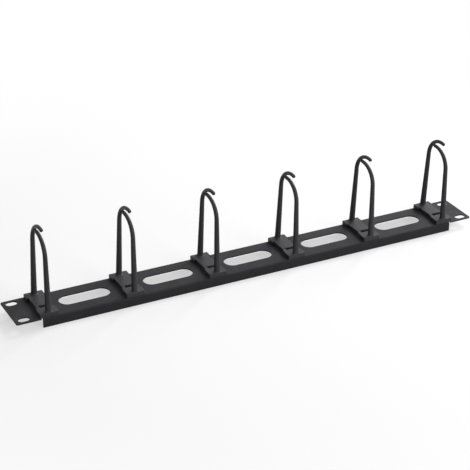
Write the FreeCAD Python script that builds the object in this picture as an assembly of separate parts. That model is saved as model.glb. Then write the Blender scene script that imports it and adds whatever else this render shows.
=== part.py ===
import FreeCAD, Part
import math
import os

os.makedirs("parts", exist_ok=True)

V = FreeCAD.Vector

# Frame: X runs along the panel, Y across it, Z out of the rack on the side that carries the rings.
# The origin is the middle of the rack hole pattern, on the face of the ears that meets the rails.

# ---- panel: one folded sheet, one rack unit high ----
PANEL_WIDTH = 482.6
PANEL_HEIGHT = 43.7
SHEET = 1.2
BEND_OUTER = 1.8
FLANGE_DEPTH = 9.65
REAR_FLANGE_DEPTH = 8.5
EAR_WIDTH = 24.9
EAR_CORNER = 1.8
RELIEF_WIDTH = 1.4
RELIEF_DEPTH = 2.4

# ---- rack holes and cable slots ----
RACK_HOLE_INSET = 8.75
RACK_SPACING_X = PANEL_WIDTH - 2 * RACK_HOLE_INSET
RACK_HOLE_EDGE = 5.975
RACK_SPACING_Y = PANEL_HEIGHT - 2 * RACK_HOLE_EDGE
RACK_HOLE_LENGTH = 10.8
RACK_HOLE_HEIGHT = 7.2
RING_COUNT = 6
RING_END_INSET = 31.3
RING_PITCH = (PANEL_WIDTH - 2 * RING_END_INSET) / (RING_COUNT - 1)
SLOT_MARGIN = 8.2
SLOT_HEIGHT = 16.8

# ---- ring: foot moulding ----
FOOT_WIDTH = 18.0
SLOT_LENGTH = RING_PITCH - FOOT_WIDTH - 2 * SLOT_MARGIN
FOOT_BACK = 21.2
FOOT_FRONT = -21.4
FOOT_RISE = 4.0
WAIST_WIDTH = 14.8
WAIST_BACK = 12.0
WAIST_FRONT = -6.2
FLARE_FRONT = -12.4
FOOT_EDGE = 0.5
FOOT_CORNER = 0.7
RECESS_WIDTH = 10.4
RECESS_BACK = -5.2
RECESS_FRONT = -12.0
RECESS_DROP = 0.6
WINDOW_WIDTH = 8.4
WINDOW_LENGTH = 3.2

# ---- ring: snap claws under the foot ----
CLAW_WIDTH = 7.0
CLAW_THICK = 1.8
CLAW_BARB = 1.0
CLAW_TIP = 3.4
CLAW_CLEARANCE = 0.2
CLAW_GRIP = 0.1
BACK_CLAW_Y = 14.0

# ---- ring: legs, heights above the panel face ----
LEG_FOOT_R = 2.9
LEG_TOP_R = 2.12
LEG_TIP_R = 1.7
TIP_FLAT_R = 0.4
FOOT_SKIRT = 0.9
BEND_STEP = 12.0
BACK_LEG_Y = 17.5
BACK_LEG_LEAN = 4.1
BACK_LEG_RUN = 58.8
HOOK_RADIUS = 20.4
HOOK_TURN = 95.2
FRONT_LEG_Y = -18.4
FRONT_LEG_LEAN = -1.5
FRONT_LEG_RUN = 52.8
SHOULDER_RADIUS = 17.9
SHOULDER_TURN = -80.7
TONGUE_RADIUS = 28.0
TONGUE_TURN = -10.3


def save(shape, node):
    shape.exportStep("parts/" + node + ".step")


def box(x0, x1, y0, y1, z0, z1):
    return Part.makeBox(x1 - x0, y1 - y0, z1 - z0, V(x0, y0, z0))


def oblong(length, height, x, y, z0, z1):
    """Slotted hole: a bar with round ends, long way along X."""
    r = height / 2.0
    half = length / 2.0 - r
    cut = box(x - half, x + half, y - r, y + r, z0, z1)
    for side in (-1, 1):
        cut = cut.fuse(Part.makeCylinder(r, z1 - z0, V(x + side * half, y, z0)))
    return cut.removeSplitter()


def ring_places():
    return [(i - (RING_COUNT - 1) / 2.0) * RING_PITCH for i in range(RING_COUNT)]


def slot_places():
    ring_x = ring_places()
    return [(a + b) / 2.0 for a, b in zip(ring_x, ring_x[1:])]


# ================= panel =================

def channel_section():
    """Closed outline of the folded sheet: top web and two flanges with round bends."""
    h = PANEL_HEIGHT / 2.0
    ro = BEND_OUTER
    ri = BEND_OUTER - SHEET
    low = SHEET - FLANGE_DEPTH
    rear_low = SHEET - REAR_FLANGE_DEPTH
    c = math.cos(math.pi / 4)
    zc = SHEET - ro
    yc = h - ro

    def arc(a, m, b):
        return Part.Arc(V(0, *a), V(0, *m), V(0, *b)).toShape()

    def line(a, b):
        return Part.makeLine(V(0, *a), V(0, *b))

    edges = [
        line((-yc, SHEET), (yc, SHEET)),
        arc((yc, SHEET), (yc + ro * c, zc + ro * c), (h, zc)),
        line((h, zc), (h, rear_low)),
        line((h, rear_low), (h - SHEET, rear_low)),
        line((h - SHEET, rear_low), (h - SHEET, zc)),
        arc((h - SHEET, zc), (yc + ri * c, zc + ri * c), (yc, 0)),
        line((yc, 0), (-yc, 0)),
        arc((-yc, 0), (-yc - ri * c, zc + ri * c), (-h + SHEET, zc)),
        line((-h + SHEET, zc), (-h + SHEET, low)),
        line((-h + SHEET, low), (-h, low)),
        line((-h, low), (-h, zc)),
        arc((-h, zc), (-yc - ro * c, zc + ro * c), (-yc, SHEET)),
    ]
    return Part.Face(Part.Wire(edges))


def claw_cutouts(x):
    """Two rectangular openings for the snap claws of one ring, with room for the claws to flex."""
    side = CLAW_WIDTH / 2.0 + CLAW_CLEARANCE
    cuts = []
    for y, out in ((front_claw_y(), -1), (BACK_CLAW_Y, 1)):
        near = y + out * (CLAW_THICK / 2.0 + CLAW_CLEARANCE)
        far = y - out * (CLAW_THICK / 2.0 + CLAW_BARB + CLAW_CLEARANCE)
        cuts.append(box(x - side, x + side, min(near, far), max(near, far), -1, SHEET + 1))
    return cuts


def rack_panel():
    half = PANEL_WIDTH / 2.0
    inner = half - EAR_WIDTH
    h = PANEL_HEIGHT / 2.0
    body = channel_section().extrude(V(2 * inner, 0, 0))
    body.translate(V(-inner, 0, 0))
    for side in (-1, 1):
        x0, x1 = sorted((side * inner, side * half))
        ear = box(x0, x1, -h, h, 0, SHEET)
        corners = [e for e in ear.Edges
                   if abs(e.Vertexes[0].X - side * half) < 0.01 and abs(e.Vertexes[1].X - side * half) < 0.01
                   and abs(e.Vertexes[0].Y - e.Vertexes[1].Y) < 0.01]
        ear = ear.makeFillet(EAR_CORNER, corners)
        for edge in (-1, 1):
            y0, y1 = sorted((edge * (h - RELIEF_DEPTH), edge * (h + 1)))
            xa, xb = sorted((side * inner, side * (inner + RELIEF_WIDTH)))
            ear = ear.cut(box(xa, xb, y0, y1, -1, SHEET + 1))
        body = body.fuse(ear)
    body = body.removeSplitter()
    cuts = []
    for sx in (-1, 1):
        for sy in (-1, 1):
            cuts.append(oblong(RACK_HOLE_LENGTH, RACK_HOLE_HEIGHT,
                               sx * RACK_SPACING_X / 2.0, sy * RACK_SPACING_Y / 2.0, -1, SHEET + 1))
    for x in slot_places():
        cuts.append(oblong(SLOT_LENGTH, SLOT_HEIGHT, x, 0, -1, SHEET + 1))
    for x in ring_places():
        cuts += claw_cutouts(x)
    return body.cut(cuts)


# ================= ring =================

def front_claw_y():
    return RECESS_BACK + CLAW_THICK / 2.0


def foot_outline():
    """Half outline of the foot from the back to the front, mirrored to close it."""
    w = FOOT_WIDTH / 2.0
    n = WAIST_WIDTH / 2.0
    right = [(w, FOOT_BACK), (w, WAIST_BACK), (n, WAIST_BACK), (n, WAIST_FRONT),
             (w, FLARE_FRONT), (w, FOOT_FRONT)]
    left = [(-x, y) for x, y in reversed(right)]
    pts = [V(x, y, SHEET) for x, y in right + left]
    return Part.Face(Part.makePolygon(pts + [pts[0]]))


def foot():
    top = SHEET + FOOT_RISE
    body = foot_outline().extrude(V(0, 0, FOOT_RISE))
    upright = [e for e in body.Edges
               if abs(abs(e.Vertexes[0].X) - FOOT_WIDTH / 2.0) < 0.01
               and abs(e.Vertexes[0].X - e.Vertexes[1].X) < 0.01
               and abs(e.Vertexes[0].Y - e.Vertexes[1].Y) < 0.01
               and min(abs(e.Vertexes[0].Y - FOOT_BACK), abs(e.Vertexes[0].Y - FOOT_FRONT)) < 0.01]
    body = body.makeFillet(FOOT_CORNER, upright)
    rim = [e for e in body.Edges if all(abs(v.Z - top) < 0.01 for v in e.Vertexes)]
    body = body.makeFillet(FOOT_EDGE, rim)
    r = RECESS_WIDTH / 2.0
    body = body.cut(box(-r, r, RECESS_FRONT, RECESS_BACK, top - RECESS_DROP, top + 1))
    w = WINDOW_WIDTH / 2.0
    body = body.cut(box(-w, w, RECESS_BACK - WINDOW_LENGTH, RECESS_BACK, 0, top + 1))
    return body


def claw(y, out):
    """Snap claw: a flat tongue through the sheet with a tapered barb under it."""
    half = CLAW_WIDTH / 2.0
    t = CLAW_THICK / 2.0
    grip = -CLAW_GRIP
    tip = -CLAW_TIP
    section = [(-t, SHEET + 1.0), (-t, tip), (t - 0.5, tip), (t + CLAW_BARB, grip - 0.8),
               (t + CLAW_BARB, grip), (t, grip), (t, SHEET + 1.0)]
    pts = [V(-half, y + out * a, z) for a, z in section]
    return Part.Face(Part.makePolygon(pts + [pts[0]])).extrude(V(CLAW_WIDTH, 0, 0))


def station(y, z, heading, r):
    """Circle of radius r across a path in the YZ plane; heading is the lean from +Z toward -Y."""
    ring = Part.Wire(Part.makeCircle(r, V(0, 0, 0), V(0, 0, 1)))
    ring.Placement = FreeCAD.Placement(V(0, y, z), FreeCAD.Rotation(V(1, 0, 0), heading))
    return ring


def leg_tip(y, z, heading):
    """Round end of a leg with a small flat at its crown, turned from an arc."""
    r = LEG_TIP_R
    rise = math.sqrt(r * r - TIP_FLAT_R * TIP_FLAT_R)
    half = math.asin(rise / r) / 2
    middle = V(r * math.cos(half), 0, r * math.sin(half))
    arc = Part.Arc(V(r, 0, 0), middle, V(TIP_FLAT_R, 0, rise)).toShape()
    crown = Part.makeLine(V(TIP_FLAT_R, 0, rise), V(0, 0, rise))
    axis = Part.makeLine(V(0, 0, rise), V(0, 0, 0))
    base = Part.makeLine(V(0, 0, 0), V(r, 0, 0))
    dome = Part.Face(Part.Wire([arc, crown, axis, base])).revolve(V(0, 0, 0), V(0, 0, 1), 360)
    dome.Placement = FreeCAD.Placement(V(0, y, z), FreeCAD.Rotation(V(1, 0, 0), heading))
    return dome


def swept_leg(y, lean, run, bends):
    """Round tapered leg: a straight run from inside the foot, then arcs, closed by a round tip."""
    start = V(0, y, SHEET + FOOT_RISE)
    lift = V(0, -math.sin(math.radians(lean)), math.cos(math.radians(lean)))
    sunk = 2.0
    root_r = LEG_FOOT_R + (LEG_FOOT_R - LEG_TOP_R) * sunk / run
    body = Part.makeCone(root_r, LEG_TOP_R, run + sunk, start - lift * sunk, lift)
    top = start + lift * run
    y, z, heading = top.y, top.z, lean
    total = sum(abs(math.radians(turn)) * radius for radius, turn in bends)
    done = 0.0
    sections = [station(y, z, heading, LEG_TOP_R)]
    for radius, turn in bends:
        steps = max(2, int(abs(turn) / BEND_STEP))
        side = 1 if turn > 0 else -1
        for k in range(steps):
            before = math.radians(heading)
            heading += turn / float(steps)
            after = math.radians(heading)
            y += side * radius * (math.cos(after) - math.cos(before))
            z += side * radius * (math.sin(after) - math.sin(before))
            done += radius * abs(after - before)
            sections.append(station(y, z, heading, LEG_TOP_R + (LEG_TIP_R - LEG_TOP_R) * done / total))
    bend = Part.makeLoft(sections, True, False)
    return body.fuse([bend, leg_tip(y, z, heading)])


def leg_skirt(y, lean):
    """Short conical skirt where a leg grows out of the foot, kept inside the foot's front face."""
    sunk = 0.6
    wide = LEG_FOOT_R + FOOT_SKIRT
    lift = V(0, -math.sin(math.radians(lean)), math.cos(math.radians(lean)))
    start = V(0, y, SHEET + FOOT_RISE) - lift * sunk
    skirt = Part.makeCone(wide + sunk, LEG_FOOT_R - 0.05, FOOT_SKIRT + 0.05 + sunk, start, lift)
    w = FOOT_WIDTH
    return skirt.common(box(-w, w, FOOT_FRONT + FOOT_EDGE, FOOT_BACK - FOOT_EDGE, 0, 20))


def cable_ring(x):
    body = foot()
    legs = [
        swept_leg(BACK_LEG_Y, BACK_LEG_LEAN, BACK_LEG_RUN, [(HOOK_RADIUS, HOOK_TURN)]),
        swept_leg(FRONT_LEG_Y, FRONT_LEG_LEAN, FRONT_LEG_RUN,
                  [(SHOULDER_RADIUS, SHOULDER_TURN), (TONGUE_RADIUS, TONGUE_TURN)]),
    ]
    skirts = [leg_skirt(BACK_LEG_Y, BACK_LEG_LEAN), leg_skirt(FRONT_LEG_Y, FRONT_LEG_LEAN)]
    body = body.fuse(legs + skirts + [claw(front_claw_y(), -1), claw(BACK_CLAW_Y, 1)])
    body = body.removeSplitter()
    body.translate(V(x, 0, 0))
    return body


save(rack_panel(), "rack_panel")
for number, place in enumerate(ring_places(), 1):
    save(cable_ring(place), "cable_ring_%d" % number)
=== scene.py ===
import math
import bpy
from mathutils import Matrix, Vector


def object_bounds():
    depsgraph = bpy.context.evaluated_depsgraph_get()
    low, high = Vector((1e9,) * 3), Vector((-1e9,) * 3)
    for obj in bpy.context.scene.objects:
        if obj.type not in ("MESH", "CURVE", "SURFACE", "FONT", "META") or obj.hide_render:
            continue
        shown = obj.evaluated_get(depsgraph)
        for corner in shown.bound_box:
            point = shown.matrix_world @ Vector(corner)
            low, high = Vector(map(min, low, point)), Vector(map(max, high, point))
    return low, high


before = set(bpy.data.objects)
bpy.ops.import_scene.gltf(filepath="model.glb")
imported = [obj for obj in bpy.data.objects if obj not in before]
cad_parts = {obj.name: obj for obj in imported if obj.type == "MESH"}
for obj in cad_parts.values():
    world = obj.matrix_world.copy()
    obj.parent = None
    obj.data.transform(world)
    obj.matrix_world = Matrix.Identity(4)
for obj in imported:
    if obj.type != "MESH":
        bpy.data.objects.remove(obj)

from types import SimpleNamespace

import bpy
from mathutils import Matrix, Vector

START_LOW, START_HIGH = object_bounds()
SCENE = bpy.context.scene
MM = 0.001
WHITE = (1.0, 1.0, 1.0, 1.0)
RING_COUNT = 6

# Camera: heading, height and roll of the view (degrees), where it stands and its clipping (m), its
# lens and sensor (mm).
VIEW_HEADING = -27.520
VIEW_HEIGHT = 27.317
VIEW_ROLL = 0.672
VIEW_PLACE = (-0.6278, -1.1782, 0.7148)
VIEW_CLIP = (0.05, 50.0)
VIEW_LENS = 121.4
VIEW_SENSOR = 36.0

# Lamps: name, place and point aimed at (m), side (m), power (W).
LAMPS = (
    ("key", (1.50, 0.55, 1.15), (0, 0, 0), 1.0, 40),
    ("overhead", (0.15, 0.1, 1.25), (0, 0, 0), 2.2, 7),
    ("front", (0.7, -1.9, 0.8), (0, 0, 0.03), 1.2, 26),
)
# What the world gives as light; looked at, it is white.
WORLD_LIGHT = (0.05, 0.05, 0.053, 1.0)

# Floor: at the height of the front flange's lower edge, the lowest point of the object as modelled.
FLOOR_Z = START_LOW.z
FLOOR_HALF = 6.0
# The floor as looked at is part shaded paper, which keeps the shadow, and part plain white. This is
# the share of plain white near the object.
FLOOR_GLOW = 0.58
# Distances (m) from the origin between which that share rises to 1, so that no horizon shows.
FLOOR_FADE = (0.24, 0.55)
# How pale the paper is as looked at, and for the light that it throws back up.
FLOOR_PAPER = (0.95, 0.97)
FLOOR_BOUNCE = 0.25
FLOOR_ROUGH = 0.9
FLOOR_NOISE = (3.0, 2.0)

# The part of a noise's range that a ramp spreads over its two values.
NOISE_SPAN = (0.3, 0.7)
# Cosine between rounded and true normal above which a face counts as flat.
FLAT_COSINE = 0.995
BEVEL_SAMPLES = 6
# Sockets of the Mix node when it mixes colours.
MIX_FACTOR, MIX_A, MIX_B, MIX_RESULT = 0, 6, 7, 2

# The two finishes. A noise is (scale per metre, detail, roughness, stretch along X, Y and Z).
POWDER_COAT = SimpleNamespace(
    name="powder_coat_black",
    tone_noise=(45.0, 4.0, 0.6),  # slight mottling
    tones=((0.0268, 0.0264, 0.0305), (0.0350, 0.0345, 0.0392)),
    edge_radius_mm=0.35,
    edge_cosine=0.90,
    worn_and_highlit_edge_colour=(0.075, 0.076, 0.079),  # coat worn thin, with a painted highlight along the edges
    patch_noise=(160.0, 2.0),
    roughness=(0.46, 0.58),
    coarse_noise=(1500.0, 2.0, 0.4),  # orange peel
    coarse_height_mm=0.09,
    coarse_strength=1.0,
    fine_noise=(4200.0, 1.0, 0.4),  # grit
    fine_height_mm=0.025,
    fine_strength=1.0,
    specular=0.08,
)
MOULDED_PLASTIC = SimpleNamespace(
    name="moulded_plastic_black",
    tone_noise=(70.0, 3.0, 0.5, (1.0, 1.0, 0.12)),  # flow marks up the legs
    tones=((0.0410, 0.0408, 0.0437), (0.0495, 0.0493, 0.0527)),
    edge_radius_mm=0.4,
    edge_cosine=0.88,
    worn_and_highlit_edge_colour=(0.085, 0.085, 0.086),  # rubbed by cables and hands, with a painted highlight along the edges
    patch_noise=(220.0, 2.0),
    roughness=(0.38, 0.49),
    coarse_noise=(240.0, 2.0, 0.5, (1.0, 1.0, 0.08)),  # flow lines
    coarse_height_mm=0.05,
    coarse_strength=0.8,
    fine_noise=(2600.0, 2.0, 0.5),  # spark-eroded grain
    fine_height_mm=0.045,
    fine_strength=1.0,
    specular=0.15,
)


class Nodes:
    """A small helper round one material's node tree."""

    def __init__(self, name):
        self.material = bpy.data.materials.new(name)
        self.material.use_nodes = True
        self.tree = self.material.node_tree
        self.tree.nodes.clear()
        self.out = self.add("ShaderNodeOutputMaterial")
        self.shader = self.add("ShaderNodeBsdfPrincipled")
        self.link(self.shader, "BSDF", self.out, "Surface")

    def add(self, kind, **settings):
        node = self.tree.nodes.new(kind)
        for key, value in settings.items():
            setattr(node, key, value)
        return node

    def link(self, a, out, b, into):
        """Join two sockets, each given by its name or its number."""
        self.tree.links.new(a.outputs[out], b.inputs[into])

    def noise(self, scale, detail, rough=0.5, stretch=(1.0, 1.0, 1.0)):
        """Noise by the place on the object, in metres."""
        coords = self.add("ShaderNodeTexCoord")
        mapping = self.add("ShaderNodeMapping")
        mapping.inputs["Scale"].default_value = stretch
        self.link(coords, "Object", mapping, "Vector")
        tex = self.add("ShaderNodeTexNoise")
        tex.inputs["Scale"].default_value = scale
        tex.inputs["Detail"].default_value = detail
        tex.inputs["Roughness"].default_value = rough
        self.link(mapping, "Vector", tex, "Vector")
        return tex

    def ramp(self, source, out, places, values):
        """From the first value to the second between two places; a value is a grey or a colour."""
        ramp = self.add("ShaderNodeValToRGB")
        for point, place, value in zip(ramp.color_ramp.elements, places, values):
            point.position = place
            colour = value if isinstance(value, tuple) else (value,) * 3
            point.color = (*colour, 1.0)
        self.link(source, out, ramp, "Fac")
        return ramp

    def bump(self, source, height_mm, strength, under):
        """Relief from a noise, on top of the normal of the node under it."""
        bump = self.add("ShaderNodeBump")
        bump.inputs["Distance"].default_value = height_mm * MM
        bump.inputs["Strength"].default_value = strength
        self.link(source, "Fac", bump, "Height")
        self.link(under, "Normal", bump, "Normal")
        return bump

    def soft_edge(self, radius_mm):
        """Normals rounded over sharp edges, as a coat or a mould leaves them."""
        bevel = self.add("ShaderNodeBevel", samples=BEVEL_SAMPLES)
        bevel.inputs["Radius"].default_value = radius_mm * MM
        return bevel

    def edge_mask(self, radius_mm, edge_cosine):
        """White where the rounded normal leaves the true one: edges only."""
        dot = self.add("ShaderNodeVectorMath", operation="DOT_PRODUCT")
        self.link(self.soft_edge(radius_mm), "Normal", dot, 0)
        self.link(self.add("ShaderNodeNewGeometry"), "Normal", dot, 1)
        return self.ramp(dot, "Value", (edge_cosine, FLAT_COSINE), (1.0, 0.0))

    def mix(self, mask, a, b):
        """From a to b by the mask; each is a colour or a node whose first output is one."""
        mix = self.add("ShaderNodeMix", data_type="RGBA")
        self.link(mask, 0, mix, MIX_FACTOR)
        for value, socket in ((a, MIX_A), (b, MIX_B)):
            if isinstance(value, tuple):
                mix.inputs[socket].default_value = (*value, 1.0)
            else:
                self.link(value, 0, mix, socket)
        return mix


def black_finish(look):
    """Varied black with edges paled by wear and by a painted highlight, patches of more and less
    gloss, and coarse and fine relief.
    """
    n = Nodes(look.name)
    tone = n.ramp(n.noise(*look.tone_noise), "Fac", NOISE_SPAN, look.tones)
    edges = n.edge_mask(look.edge_radius_mm, look.edge_cosine)
    # paler edges: partly wear, partly a painted highlight
    colour = n.mix(edges, tone, look.worn_and_highlit_edge_colour)
    n.link(colour, MIX_RESULT, n.shader, "Base Color")
    rough = n.ramp(n.noise(*look.patch_noise), "Fac", NOISE_SPAN, look.roughness)
    n.link(rough, "Color", n.shader, "Roughness")
    edge = n.soft_edge(look.edge_radius_mm)
    coarse = n.bump(n.noise(*look.coarse_noise), look.coarse_height_mm, look.coarse_strength, edge)
    fine = n.bump(n.noise(*look.fine_noise), look.fine_height_mm, look.fine_strength, coarse)
    n.link(fine, "Normal", n.shader, "Normal")
    n.shader.inputs["Specular IOR Level"].default_value = look.specular
    return n.material


def dress(node, material):
    """Give every slot of a carried-over CAD node the finished material."""
    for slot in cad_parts[node].material_slots:
        slot.material = material


def looked_at(tree):
    """A node whose Value is 1 for rays from the camera, reflections and glass, and 0 for light."""
    path = tree.nodes.new("ShaderNodeLightPath")
    seen = path.outputs["Is Camera Ray"]
    for kind in ("Is Glossy Ray", "Is Transmission Ray"):
        either = tree.nodes.new("ShaderNodeMath")
        either.operation = "MAXIMUM"
        tree.links.new(seen, either.inputs[0])
        tree.links.new(path.outputs[kind], either.inputs[1])
        seen = either.outputs["Value"]
    return either


def floor_material():
    """Paper that keeps the shadow, turning plain white away from the object; clear from below."""
    n = Nodes("floor_pale")
    seen = looked_at(n.tree)
    paper = n.ramp(n.noise(*FLOOR_NOISE), "Fac", NOISE_SPAN, FLOOR_PAPER)
    colour = n.mix(seen, (FLOOR_BOUNCE,) * 3, paper)
    n.link(colour, MIX_RESULT, n.shader, "Base Color")
    n.shader.inputs["Roughness"].default_value = FLOOR_ROUGH
    n.shader.inputs["Specular IOR Level"].default_value = 0.0

    # share of plain white: it grows with the distance, and is none for the light thrown back up
    away = n.add("ShaderNodeVectorMath", operation="LENGTH")
    n.link(n.add("ShaderNodeTexCoord"), "Object", away, "Vector")
    whiter = n.add("ShaderNodeMapRange", interpolation_type="SMOOTHSTEP")
    sockets = ("From Min", "From Max", "To Min", "To Max")
    for socket, value in zip(sockets, (*FLOOR_FADE, FLOOR_GLOW, 1.0)):
        whiter.inputs[socket].default_value = value
    n.link(away, "Value", whiter, "Value")
    share = n.add("ShaderNodeMath", operation="MULTIPLY")
    n.link(seen, "Value", share, 0)
    n.link(whiter, "Result", share, 1)
    glow = n.add("ShaderNodeEmission")
    glow.inputs["Color"].default_value = WHITE
    glow.inputs["Strength"].default_value = 1.0
    blend = n.add("ShaderNodeMixShader")
    n.link(share, "Value", blend, "Fac")
    n.link(n.shader, "BSDF", blend, 1)
    n.link(glow, "Emission", blend, 2)

    # seen from below it is clear, so that the underside can be looked at
    one_sided = n.add("ShaderNodeMixShader")
    n.link(n.add("ShaderNodeNewGeometry"), "Backfacing", one_sided, "Fac")
    n.link(blend, "Shader", one_sided, 1)
    n.link(n.add("ShaderNodeBsdfTransparent"), "BSDF", one_sided, 2)
    n.link(one_sided, "Shader", n.out, "Surface")
    return n.material


def pale_floor():
    """One flat square under the object."""
    signs = ((-1, -1), (1, -1), (1, 1), (-1, 1))
    mesh = bpy.data.meshes.new("floor")
    mesh.from_pydata([(x * FLOOR_HALF, y * FLOOR_HALF, FLOOR_Z) for x, y in signs], [], [(0, 1, 2, 3)])
    mesh.materials.append(floor_material())
    floor = bpy.data.objects.new("floor", mesh)
    SCENE.collection.objects.link(floor)


def soft_box(name, place, aim, side, power):
    """A square area light at place, facing aim."""
    data = bpy.data.lights.new(name, "AREA")
    data.shape = "SQUARE"
    data.size = side
    data.energy = power
    lamp = bpy.data.objects.new(name, data)
    lamp.location = place
    lamp.rotation_mode = "QUATERNION"
    lamp.rotation_quaternion = (Vector(aim) - Vector(place)).to_track_quat("-Z", "Y")
    SCENE.collection.objects.link(lamp)


def surroundings():
    """White to the camera, in reflections and through glass; a dim plain grey as light."""
    world = bpy.data.worlds.new("studio")
    world.use_nodes = True
    tree = world.node_tree
    tree.nodes.clear()
    out = tree.nodes.new("ShaderNodeOutputWorld")
    mix = tree.nodes.new("ShaderNodeMixShader")
    tree.links.new(looked_at(tree).outputs["Value"], mix.inputs["Fac"])
    for socket, colour in ((1, WORLD_LIGHT), (2, WHITE)):
        background = tree.nodes.new("ShaderNodeBackground")
        background.inputs["Color"].default_value = colour
        tree.links.new(background.outputs["Background"], mix.inputs[socket])
    tree.links.new(mix.outputs["Shader"], out.inputs["Surface"])
    SCENE.world = world


def camera():
    """Stand the camera where the view is taken from, turned by heading, height and roll."""
    heading, height, roll = (math.radians(x) for x in (VIEW_HEADING, VIEW_HEIGHT, VIEW_ROLL))
    ahead = Vector((
        -math.sin(heading) * math.cos(height),
        math.cos(heading) * math.cos(height),
        -math.sin(height),
    ))
    right = Vector((math.cos(heading), math.sin(heading), 0.0))
    up = right.cross(ahead)
    across = right * math.cos(roll) + up * math.sin(roll)
    upright = up * math.cos(roll) - right * math.sin(roll)
    data = bpy.data.cameras.new("camera")
    data.sensor_width = VIEW_SENSOR
    data.lens = VIEW_LENS
    data.clip_start, data.clip_end = VIEW_CLIP
    cam = bpy.data.objects.new("camera", data)
    axes = Matrix((across, upright, -ahead)).transposed().to_4x4()
    cam.matrix_world = Matrix.Translation(VIEW_PLACE) @ axes
    SCENE.collection.objects.link(cam)
    SCENE.camera = cam


SCENE.view_settings.view_transform = "Standard"
surroundings()
camera()
pale_floor()
for lamp in LAMPS:
    soft_box(*lamp)

dress("rack_panel", black_finish(POWDER_COAT))
plastic = black_finish(MOULDED_PLASTIC)
for number in range(1, RING_COUNT + 1):
    dress("cable_ring_%d" % number, plastic)
